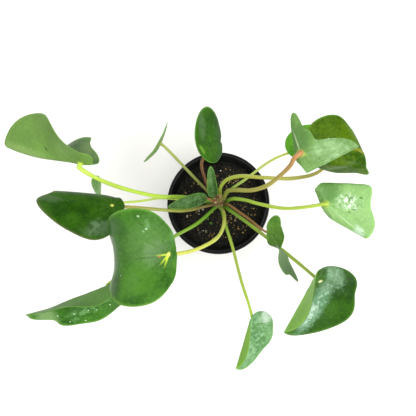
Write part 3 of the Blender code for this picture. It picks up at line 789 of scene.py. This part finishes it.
def make_stalks():
    for seed, (leaf_name, leaf) in enumerate(LEAVES.items(), 1):
        name = f"stalk_{seed:02d}"
        direction, height, thick, thin, middle = STALKS[leaf_name]
        out = compass(direction)
        foot = np.array([*STEM_XY, height]) + out * (stem_radius(height) + CLEARANCE)
        normal = blade_axes(leaf)[2]
        end = np.array(leaf["at"]) - normal * (LEAF_THICKNESS / 2 + CLEARANCE)
        route = smooth_route([foot + out * STALK_FOOT, *middle, end - normal * STALK_END], 8)
        route = np.vstack([foot - out * FOOT_SINK, foot + out * 0.3, route,
                           end - normal * 1.6, end - normal * 0.6, end + normal * END_SINK])
        steps = distances(route)
        t = steps / steps[-1]
        wobble = 1 + 0.035 * np.sin(t * 19 + seed) + 0.025 * np.sin(t * 47 + seed * 2.1)
        radii = (thick + (thin - thick) * t) * wobble
        radii *= 1 + swell(steps, *FOOT_SWELL) + swell(steps[-1] - steps, *END_SWELL)
        slot = "stalk_red" if leaf_name in RED_STALKS else "stalk_green"
        stalk = piece("stem_" + name, tube(route, radii), slot,
                      stalk_finish(name + "_skin", seed, *STALK_COLOURS[leaf_name]))
        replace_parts(stalk, name)


# ---- pot
# The lip in section: a ridge inside and a rim outside with a groove between them. Each point says how far it
# is out from the ridge, or in from the rim, and how far below the top.
RIDGE = [(0.1, 0.7), (0.25, 0.25), (0.6, 0), (0.95, 0.2), (1.2, 0.6), (1.5, 1.5), (1.9, 1.85), (2.3, 1.7)]
RIM = [(1.3, 1.1), (1.0, 0.85), (0.6, 0.95), (0.2, 1.5), (0, 2.3), (0.1, 5)]
# The rounded foot: how far below its wall's radius each point is, and its height.
FOOT = [(0.1, 1.6), (0.4, 0.8), (1.0, 0.2), (1.6, 0)]
POT_STEPS, DRAIN_DEPTH = 144, 8


def wall_radius(height):
    top = POT_RIM_RADIUS - LIP_WIDTH + POT_WALL
    return POT_FOOT_RADIUS + (top - POT_FOOT_RADIUS) * height / POT_HEIGHT


def pot_finish():
    n = Nodes("pot_plastic")
    grain = n.noise(900, 4, 0.6)
    cloud = n.noise(45, 4, 0.6)
    dust = n.noise(260, 5, 0.75)
    n.colour = n.mix(n.ramp(cloud, 0.35, 0.7), (0.0045, 0.0055, 0.006), (0.011, 0.0125, 0.013))
    n.paint(n.ramp(dust, 0.58, 0.8), 0.35, (0.1, 0.092, 0.08))
    return n.finish(n.ramp(cloud, 0.3, 0.7, 0.34, 0.55), n.bump(grain, 0.0001, 0.35), specular=0.35)


def drill(pot, x, y):
    """Cuts a drain hole through the pot's floor."""
    shape = bmesh.new()
    bmesh.ops.create_cone(shape, cap_ends=True, segments=24, radius1=DRAIN_RADIUS * MM,
                          radius2=DRAIN_RADIUS * MM, depth=DRAIN_DEPTH * MM)
    bmesh.ops.translate(shape, verts=shape.verts, vec=(x * MM, y * MM, 0))
    mesh = bpy.data.meshes.new("drain")
    shape.to_mesh(mesh)
    shape.free()
    cutter = link("drain", mesh)
    hole = pot.modifiers.new("drain", "BOOLEAN")
    hole.operation, hole.solver, hole.object = "DIFFERENCE", "EXACT", cutter
    bpy.context.view_layer.update()
    cut = bpy.data.meshes.new_from_object(pot.evaluated_get(bpy.context.evaluated_depsgraph_get()))
    pot.modifiers.clear()
    pot.data = cut
    bpy.data.objects.remove(cutter)


def make_pot():
    lip_foot = POT_HEIGHT - LIP_HEIGHT
    rim, ridge, wall = POT_RIM_RADIUS, POT_RIM_RADIUS - LIP_WIDTH, POT_WALL
    inner = [(wall_radius(z) - wall, z) for z in np.linspace(POT_FLOOR + 2, POT_HEIGHT - 3, 10)]
    lip = [(ridge + out, POT_HEIGHT - down) for out, down in RIDGE]
    lip += [(rim - back, POT_HEIGHT - down) for back, down in RIM]
    lip += [(rim - 0.35, lip_foot + 0.5), (rim - 0.7, lip_foot), (rim - 0.5 - wall, lip_foot + 0.1),
            (rim - 0.2 - wall, POT_HEIGHT - 3.6)]
    outer = [(wall_radius(z), z) for z in np.linspace(POT_HEIGHT - 4, 3.0, 14)]
    foot = [(wall_radius(z) - back, z) for back, z in FOOT]
    profile = [(POT_FOOT_RADIUS - 2.4, POT_FLOOR), *inner, *lip, *outer, *foot]
    rings = [circle(radius, height, POT_STEPS) for radius, height in profile]
    pot = link("nursery_pot", turned((0, 0, POT_FLOOR), rings, (0, 0, 0)))
    for i in range(DRAIN_HOLES):
        drill(pot, *(DRAIN_CIRCLE * compass(360 * i / DRAIN_HOLES))[:2])
    pot.data.materials.clear()
    pot.data.materials.append(pot_finish())
    pot.data.shade_smooth()
    pot.data.set_sharp_from_angle(angle=radians(50))
    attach(pot, "root")
    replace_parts(pot, "pot")


# ---- potting mix
SOIL_RADII = [0, 18, 34, 45, 50]
SOIL_HEIGHTS = [78.8, 78.4, 77.2, 75.3, 73.8]  # at these radii
LUMPS = [(9, 0, 1.3), (3.2, 4, 0.8), (1.3, 9, 0.35)]  # size, layer of the noise, height
SOIL_RINGS, SOIL_SPOKES = 70, 200


def soil_height(x, y):
    height = np.interp(np.hypot(x, y), SOIL_RADII, SOIL_HEIGHTS)
    for size, layer, high in LUMPS:
        height += noise.noise(Vector((x / size, y / size, layer))) * high
    return height


def soil_finish():
    n = Nodes("potting_mix_dark")
    coarse = n.noise(220, 6, 0.7)
    fine = n.noise(900, 5, 0.7)
    n.colour = n.mix(n.ramp(coarse, 0.35, 0.65), (0.003, 0.0032, 0.0027), (0.0095, 0.0092, 0.0066))
    n.paint(n.ramp(fine, 0.6, 0.72), 0.4, (0.05, 0.036, 0.02))
    n.paint(n.ramp(n.noise(650, 3, 0.5), 0.71, 0.74), 1, (0.24, 0.16, 0.07))
    normal = n.bump(n.math("ADD", coarse, n.times(fine, 0.6)), 0.0009, 0.9)
    return n.finish(0.9, normal, specular=0.25)


def speck_finish(name, dark, light, scale, roughness):
    n = Nodes(name)
    tone = n.noise(scale, 4, 0.65)
    streak = n.noise(scale * 4, 3, 0.6)
    n.colour = n.mix(n.ramp(tone, 0.35, 0.65), dark, light)
    n.paint(n.ramp(streak, 0.5, 0.7), 0.4, scaled(dark, 0.5))
    return n.finish(roughness, n.bump(streak, 0.0003, 0.7), specular=0.3)


def make_soil():
    wall = wall_radius(SOIL_EDGE_HEIGHT) - POT_WALL - 0.1
    shoulder, bottom = SOIL_EDGE_HEIGHT - 4, POT_FLOOR + 1
    rings = [[(x, y, soil_height(x, y)) for x, y, _ in circle(wall * k / SOIL_RINGS, 0, SOIL_SPOKES)]
             for k in range(1, SOIL_RINGS + 1)]
    for radius, height in [(wall_radius(shoulder) - 0.2, shoulder), (wall_radius(2) - 2, bottom)]:
        rings.append(circle(radius - POT_WALL, height, SOIL_SPOKES))
    mix = turned((0, 0, soil_height(0, 0)), rings, (0, 0, bottom))
    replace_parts(piece("potting_mix", mix, "soil", soil_finish()), "soil")


def scattered(count, low, high):
    """Places on the mix between two distances from the pot's axis."""
    r = np.sqrt(rng.uniform(low ** 2, high ** 2, count))
    a = rng.uniform(0, 2 * pi, count)
    return np.column_stack([r * np.cos(a), r * np.sin(a)])


def chunks(name, places, sizes, flatness, material):
    """Many small broken pieces in one mesh: each a rough, randomly turned lump."""
    round_points, triangles = ball(1)
    points, faces = [], []
    for (x, y), size in zip(places, sizes):
        lump = round_points * (1 + rng.uniform(-0.35, 0.35, (len(round_points), 1)))
        lump = lump * np.array([1, rng.uniform(0.35, 0.8), rng.uniform(*flatness)]) * size
        tilt, turn = rng.uniform(-0.6, 0.6), rng.uniform(0, 2 * pi)
        turns = Matrix.Rotation(turn, 3, "Z") @ Matrix.Rotation(tilt, 3, "Y")
        lump = lump @ np.array(turns).T + (x, y, soil_height(x, y) + size * 0.12)
        faces.extend(triangles + len(points))
        points.extend(lump)
    piece(name, mesh_from(points, faces, smooth=False), "soil", material)


# Pieces in the mix: how many are scattered, the gaps they keep to the pot's axis and its wall, the heaps
# (place, spread, how many), the sizes, how flat they are, the finish (name, dark, light, scale, roughness).
MIX_PIECES = {
    "dark_bark": (520, 6, 0, [], (0.7, 2.6), (0.3, 0.7),
                  ("bark_dark", (0.005, 0.005, 0.004), (0.018, 0.016, 0.01), 400, 0.85)),
    "pale_bark": (110, 6, 3, [((14, 24), 3.5, 26), ((34, -12), 3.2, 20), ((13, -17), 3.5, 22)], (0.4, 1.2),
                  (0.25, 0.55), ("bark_pale", (0.2, 0.12, 0.035), (0.5, 0.35, 0.12), 500, 0.8)),
    "tan_fibres": (60, 6, 6, [], (0.9, 1.9), (0.08, 0.16),
                   ("fibre_tan", (0.09, 0.05, 0.02), (0.24, 0.16, 0.07), 600, 0.85)),
    "tan_crumbs": (520, 6, 1, [], (0.2, 0.55), (0.4, 0.9),
                   ("crumb_tan", (0.13, 0.1, 0.035), (0.37, 0.29, 0.12), 600, 0.85)),
    "perlite": (16, 7, 6, [((-18, -9), 2.6, 9), ((-17, -28), 2.5, 4)], (0.35, 1.05), (0.6, 0.95),
                ("perlite_white", (0.62, 0.6, 0.55), (0.85, 0.84, 0.8), 700, 0.9)),
}
BARK_BLOCK_XY, BARK_BLOCK_SIZE = (-33.0, -12.5), 2.6


def make_mix_pieces():
    limit = wall_radius(SOIL_EDGE_HEIGHT) - POT_WALL - 3.5
    for name, (count, start, gap, heaps, sizes, flatness, finish) in MIX_PIECES.items():
        places = np.vstack([scattered(count, start, limit - gap)]
                           + [rng.normal(place, spread, (many, 2)) for place, spread, many in heaps])
        chunks(name, places, rng.uniform(*sizes, len(places)), flatness, speck_finish(*finish))
    chunks("bark_block", [BARK_BLOCK_XY], [BARK_BLOCK_SIZE], (0.5, 0.7),
           speck_finish("bark_beige", (0.3, 0.24, 0.15), (0.52, 0.44, 0.3), 300, 0.85))


# ---- stem, scales, bud and seedlings
BLADE_ROWS, BLADE_COLUMNS = 9, 6
LEAF_ANGLE = 137.5  # from one dry scale to the next, in degrees
SEEDLINGS = [(-11.2, -15.2, 30), (-7.4, -20.6, 75)]  # place on the mix, turn


def bark_finish(name, low, high, specks):
    n = Nodes(name)
    tone = n.noise(260, 5, 0.7)
    line = n.noise(1100, 3, 0.6)
    n.colour = n.mix(n.ramp(tone, 0.35, 0.65), low, high)
    n.paint(n.ramp(line, 0.55, 0.7), 0.5, specks)
    normal = n.bump(n.math("ADD", tone, line), 0.0005, 0.8)
    return n.finish(n.ramp(tone, 0.3, 0.7, 0.5, 0.75), normal, specular=0.35)


def make_stem():
    heights = np.linspace(70, STEM_TOP - 0.1, 60)
    radii = np.interp(heights, *zip(*STEM_TAPER, (STEM_TOP, 0.3)))
    radii = np.maximum(radii * (1 + 0.05 * np.sin(heights * 1.9) + 0.03 * np.sin(heights * 4.3)), 0.3)
    bark = bark_finish("stem_bark", (0.13, 0.075, 0.03), (0.34, 0.24, 0.1), (0.06, 0.03, 0.015))
    stem = piece("short_main_stem", tube([(*STEM_XY, z) for z in heights], radii, 28), "stem", bark)
    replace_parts(stem, "main_stem")


def small_blades(name, specs, material, slot, cup=0.25):
    """Small blades in one mesh: each (base point, heading, rise, length, width, thickness)."""
    points, faces = [], []
    across = 2 * np.arange(BLADE_COLUMNS + 1) / BLADE_COLUMNS - 1
    section = [(s, 0.5) for s in across] + [(s, -0.5) for s in reversed(across)]
    around = len(section)
    tip = [(j, around - 1 - j, around - 2 - j, j + 1) for j in range(BLADE_COLUMNS)]
    for base, heading, rise, length, width, thick in specs:
        start = len(points)
        ahead = compass(heading) * cos(radians(rise)) + (0, 0, sin(radians(rise)))
        side = compass(heading + 90)
        up = np.cross(ahead, side)
        for t in np.arange(BLADE_ROWS + 1) / BLADE_ROWS:
            half = width / 2 * max(sin(pi * min(t * 0.92 + 0.06, 1)) ** 0.8, 0.03)
            for s, layer in section:
                lift = cup * width * (s * s) + layer * thick - 0.5 * cup * width * t * t
                points.append(np.array(base) + ahead * length * t + side * half * s + up * lift)
        faces += bands(start, BLADE_ROWS + 1, around)
        faces += shifted(flipped(tip), start) + shifted(tip, start + BLADE_ROWS * around)
    piece(name, mesh_from(points, faces), slot, material)


def make_crown():
    scales = []
    for i in range(13):
        heading, height = i * LEAF_ANGLE, 90 + 1.25 * i
        base = (*STEM_XY, height) + compass(heading) * (stem_radius(height) + 0.1)
        scales.append((base, heading, 48 + (i % 3) * 9, 4.6 + (i % 4) * 0.6, 2.6, 0.22))
    dry = bark_finish("scale_dry", (0.3, 0.2, 0.09), (0.55, 0.43, 0.24), (0.2, 0.1, 0.04))
    small_blades("dry_scales", scales, dry, "stem")
    bud = [((*STEM_XY, 106.6) + compass(a) * 0.4, a, 72, 3.6, 2.0, 0.35) for a in (20, 140, 260)]
    fresh = bark_finish("bud_green", (0.2, 0.3, 0.05), (0.36, 0.22, 0.07), (0.3, 0.07, 0.03))
    small_blades("end_bud", bud, fresh, "stem")


def make_seedlings():
    specs = []
    for x, y, turn in SEEDLINGS:
        z = soil_height(x, y)
        for k in range(4):
            specs.append(((x, y, z + 1.4 + 0.25 * k), turn + 90 * k, 24, 2.0 + 0.3 * (k % 2), 1.5, 0.25))
        specs.append(((x - 0.2, y, z - 0.5), turn, 84, 2.6, 0.5, 0.4))
    green = bark_finish("seedling_green", (0.035, 0.11, 0.012), (0.09, 0.22, 0.03), (0.03, 0.08, 0.01))
    small_blades("seedlings", specs, green, "leaf", cup=0.12)


# ---- floor, light and camera
FLOOR_HALF, FLOOR_HEIGHT = 4000, -0.5
WORLD_COLOUR, WORLD_STRENGTH = (1.0, 0.985, 0.955, 1), 0.75
LIGHT_AIM = Vector((0, 0, 0.1))
LIGHTS = {  # place and size in metres, power in watts, colour
    "overhead": ((0.1, -0.1, 1.9), 1.2, 16, (1.0, 0.99, 0.97)),
    "window": ((1.5, -1.0, 1.3), 1.2, 34, (1.0, 1.0, 1.0)),
    "fill": ((-1.4, 1.2, 1.0), 1.4, 10, (0.93, 0.97, 1.0)),
}
CAMERA_PLACE, CAMERA_AIM = Vector((0.015, -0.045, 0.545)), Vector((-0.0102, -0.0055, 0.09))
SENSOR_WIDTH, FOCAL_LENGTH = 36.0, 38.77


def make_stage():
    corners = [(-1, -1), (1, -1), (1, 1), (-1, 1)]
    corners = [(x * FLOOR_HALF, y * FLOOR_HALF, FLOOR_HEIGHT) for x, y in corners]
    floor = link("floor", mesh_from(corners, [(0, 1, 2, 3)]))
    n = Nodes("floor_paper")
    tone = n.ramp(n.noise(6, 3, 0.5), 0.3, 0.7)
    n.colour = n.mix(tone, (0.88, 0.875, 0.86), (0.9, 0.895, 0.88))
    floor.data.materials.append(n.finish(0.9, specular=0.1))
    world = bpy.data.worlds.new("studio")
    world.use_nodes = True
    background = world.node_tree.nodes["Background"]
    background.inputs["Color"].default_value = WORLD_COLOUR
    background.inputs["Strength"].default_value = WORLD_STRENGTH
    bpy.context.scene.world = world
    for name, (place, size, power, colour) in LIGHTS.items():
        light = bpy.data.lights.new(name, "AREA")
        light.size, light.energy, light.color = size, power, colour
        lamp = link(name, light)
        lamp.location = place
        lamp.rotation_euler = (LIGHT_AIM - Vector(place)).to_track_quat("-Z", "Y").to_euler()


def make_camera():
    data = bpy.data.cameras.new("camera")
    data.sensor_width, data.lens = SENSOR_WIDTH, FOCAL_LENGTH
    camera = link("camera", data)
    ahead = (CAMERA_AIM - CAMERA_PLACE).normalized()
    right = ahead.cross(Vector((0, 1, 0))).normalized()
    camera.matrix_world = Matrix((right, right.cross(ahead), -ahead)).transposed().to_4x4()
    camera.location = CAMERA_PLACE
    bpy.context.scene.camera = camera


make_camera()
make_pot()
make_soil()
make_mix_pieces()
make_stem()
make_crown()
make_seedlings()
make_leaves()
make_stalks()
make_stage()
bpy.context.scene.view_settings.view_transform = "Standard"
